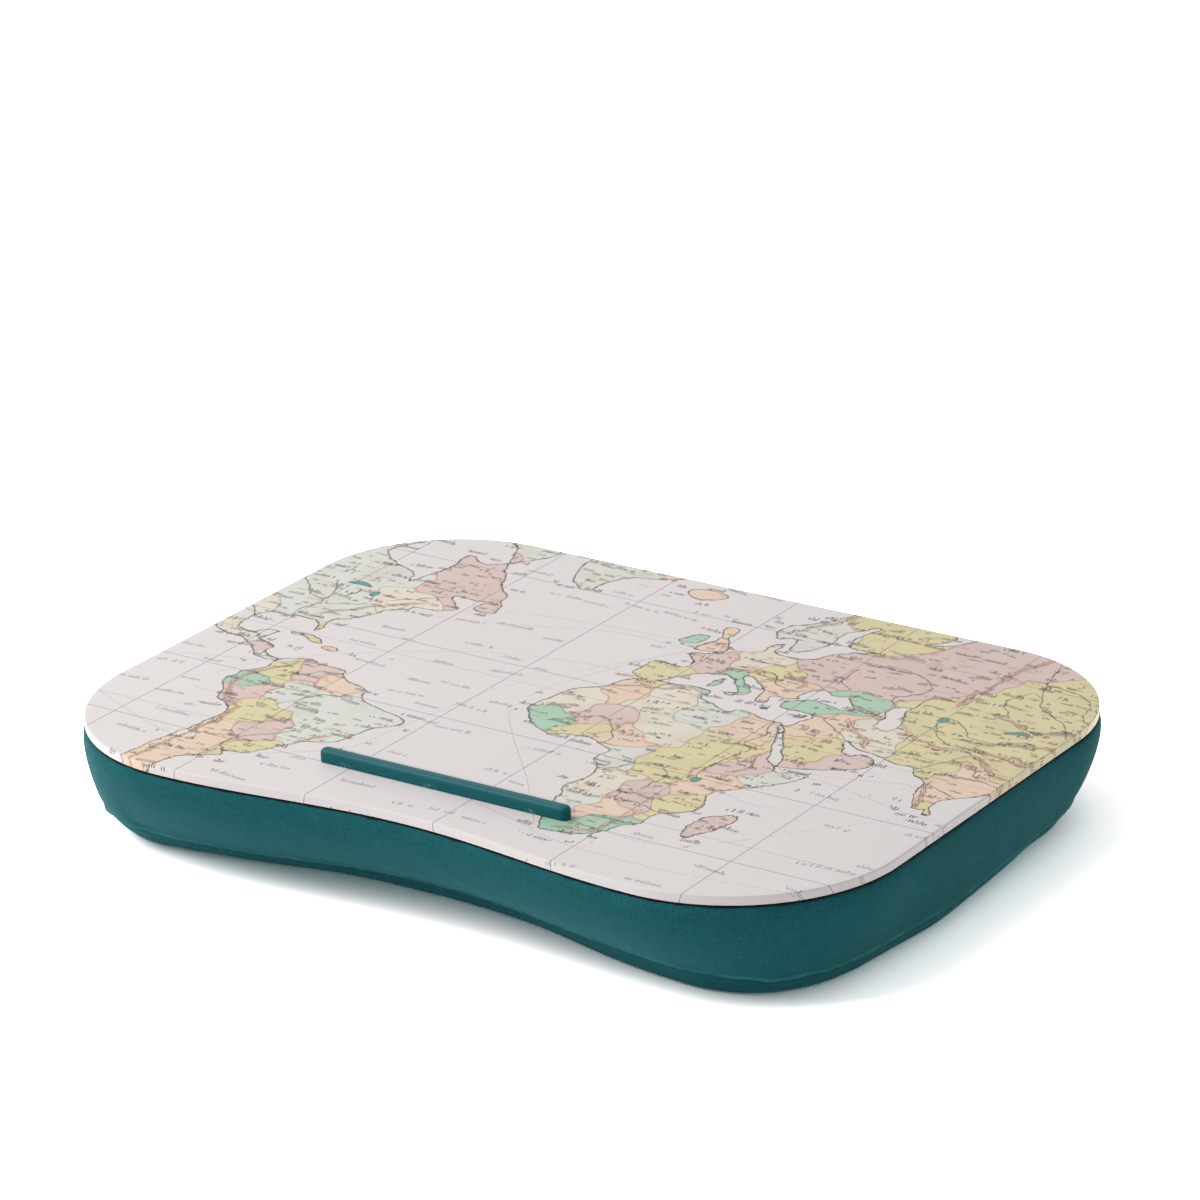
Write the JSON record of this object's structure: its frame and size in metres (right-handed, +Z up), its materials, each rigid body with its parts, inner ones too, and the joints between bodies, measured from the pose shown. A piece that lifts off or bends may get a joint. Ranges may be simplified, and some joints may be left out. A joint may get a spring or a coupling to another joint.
{
  "type": "laptop tray",
  "caption": "Lap tray for a laptop: a thin rounded board with a low stop bar near its hollowed front edge, on a soft bead-filled cushion.",
  "frame": {"origin": "on the surface that the tray rests on, under the middle of its outline", "axes": "+X to the user's right along the tray's length, +Y away from the user, +Z up through the board"},
  "size_m": [0.4398, 0.3338, 0.0663],
  "materials": {
    "fibre_board": "raw pressed wood fibre board",
    "printed_foil": "satin printed film with a chart-like design in pale colours",
    "teal_plastic": "semi-gloss moulded teal plastic",
    "zinc_steel": "zinc plated",
    "black_cloth": "matt black non-woven cloth",
    "teal_cloth": "fine teal weave with a soft sheen",
    "bag_cloth": "thin white non-woven cloth",
    "foam_beads": "settled white foam beads"
  },
  "bodies": {
    "root": {"board_core": "fibre_board", "print_foil": "printed_foil", "stop_bar": "teal_plastic", "stop_screw_left": "zinc_steel", "stop_screw_middle": "zinc_steel", "stop_screw_right": "zinc_steel", "cushion_top_panel": "black_cloth", "side_band": "teal_cloth", "bottom_panel": "teal_cloth", "inner_bag_upper": "bag_cloth", "inner_bag_lower": "bag_cloth", "bead_fill": "foam_beads"}
  },
  "joints": []
}
